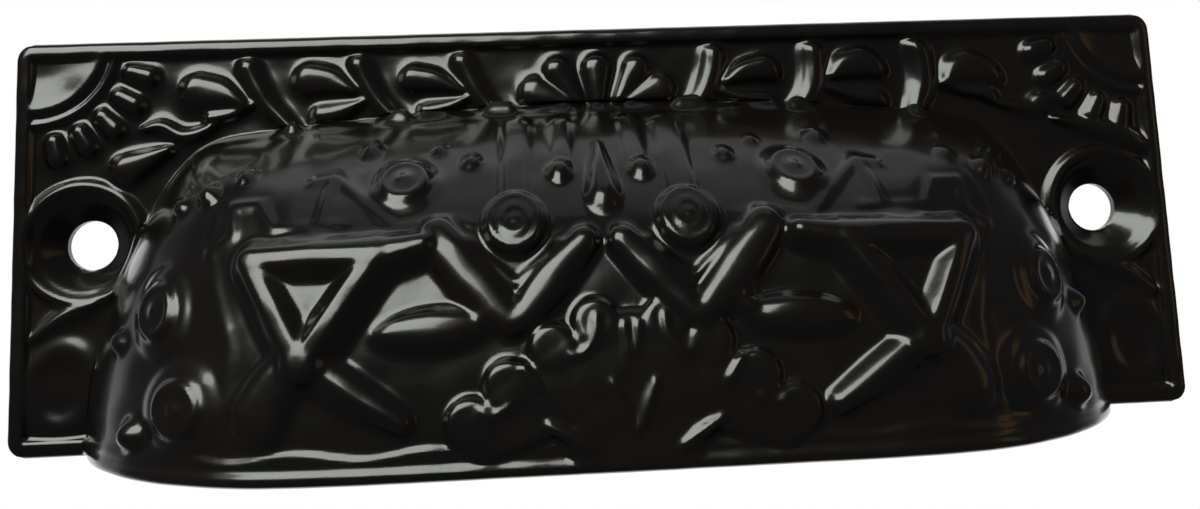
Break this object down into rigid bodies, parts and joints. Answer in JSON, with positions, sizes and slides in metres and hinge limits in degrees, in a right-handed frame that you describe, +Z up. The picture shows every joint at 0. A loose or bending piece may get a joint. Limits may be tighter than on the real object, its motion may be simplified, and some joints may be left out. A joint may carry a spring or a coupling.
{
  "type": "cup pull",
  "caption": "Ornate cast cup pull for a drawer, with a hood open behind and below, raised leaf and strap ornament and a black enamel finish",
  "frame": {"origin": "midway between the two screw holes, on the back plane", "axes": "X along the plate to the right, Y into the drawer front, Z up"},
  "size_m": [0.104, 0.0229, 0.036],
  "materials": {
    "black_enamel": "gloss black enamel over cast iron"
  },
  "bodies": {
    "root": {"cup_pull": "black_enamel"}
  },
  "joints": []
}
